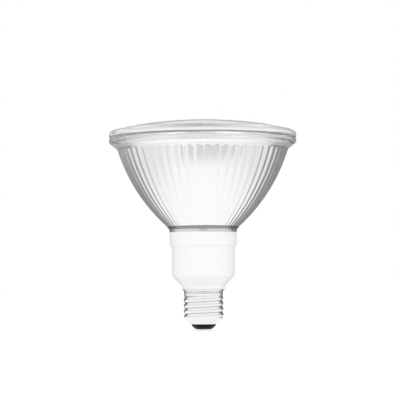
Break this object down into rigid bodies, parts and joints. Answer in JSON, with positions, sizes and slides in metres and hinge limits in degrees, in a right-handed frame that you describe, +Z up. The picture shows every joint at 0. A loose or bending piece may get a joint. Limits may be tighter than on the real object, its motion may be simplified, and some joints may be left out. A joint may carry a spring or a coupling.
{
  "type": "par spotlight bulb",
  "caption": "Reflector spotlight bulb with a fluted mirrored glass bowl, clear domed lens, white ballast housing and a screw base.",
  "frame": {"origin": "centre of the contact's flat underside, the lowest point of the lamp, on its axis", "axes": "+Z runs up the lamp's axis from the contact to the lens. +X is to the right of the picture and +Y points away from the picture's camera."},
  "size_m": [0.121, 0.121, 0.1349],
  "materials": {
    "contact_metal": "nickel-plated, satin",
    "black_glass": "opaque black vitreous glass",
    "shell_metal": "nickel-plated brass sheet, bright",
    "white_plastic": "smooth moulded, semi-gloss",
    "ring_metal": "bright sheet",
    "silvered_glass": "pressed glass with a mirror coat inside",
    "sealant": "translucent silicone",
    "clear_glass": "clear, polished",
    "cement": "matt cement",
    "shield_metal": "polished sheet",
    "ceramic": "matt white",
    "quartz": "clear quartz",
    "alumina": "translucent white",
    "dark_metal": "tungsten and molybdenum, satin",
    "wire_metal": "satin wire",
    "capacitor_sleeve": "printed-free film sleeve",
    "ferrite": "matt dark grey",
    "bobbin_plastic": "moulded",
    "copper_winding": "enamelled copper wire",
    "film_plastic": "moulded box",
    "yellow_plastic": "moulded box",
    "chip_plastic": "moulded",
    "thermistor_coat": "dipped",
    "gap_ceramic": "glazed",
    "resistor_coat": "flameproof coat",
    "red_sleeve": "wire insulation",
    "white_sleeve": "wire insulation",
    "board_laminate": "glass-fibre laminate"
  },
  "bodies": {
    "root": {"centre_contact": "contact_metal", "base_insulator": "black_glass", "screw_shell": "shell_metal", "lower_housing": "white_plastic", "upper_housing": "white_plastic", "neck_ring": "ring_metal", "reflector": "silvered_glass", "lens_sealant": "sealant", "front_lens": "clear_glass", "neck_cement": "cement", "neck_shield": "shield_metal", "burner_holder": "ceramic", "holder_cement": "cement", "burner_capsule": "quartz", "arc_tube": "alumina", "arc_electrodes": "dark_metal", "frame_wire_long": "dark_metal", "frame_wire_short": "dark_metal", "pinch_foils": "dark_metal", "capsule_pins": "wire_metal", "bulk_capacitor": "capacitor_sleeve", "transformer_core": "ferrite", "transformer_bobbin": "bobbin_plastic", "transformer_winding": "copper_winding", "filter_choke_core": "ferrite", "filter_choke_winding": "copper_winding", "igniter_core": "ferrite", "igniter_winding": "copper_winding", "film_capacitor": "film_plastic", "ignition_capacitor": "yellow_plastic", "controller_chip": "chip_plastic", "rectifier_diodes": "chip_plastic", "thermistor": "thermistor_coat", "spark_gap": "gap_ceramic", "fuse_resistor": "resistor_coat", "line_wire": "red_sleeve", "neutral_wire": "white_sleeve", "power_transistor_1": "chip_plastic", "power_transistor_2": "chip_plastic", "circuit_board": "board_laminate"}
  },
  "joints": []
}
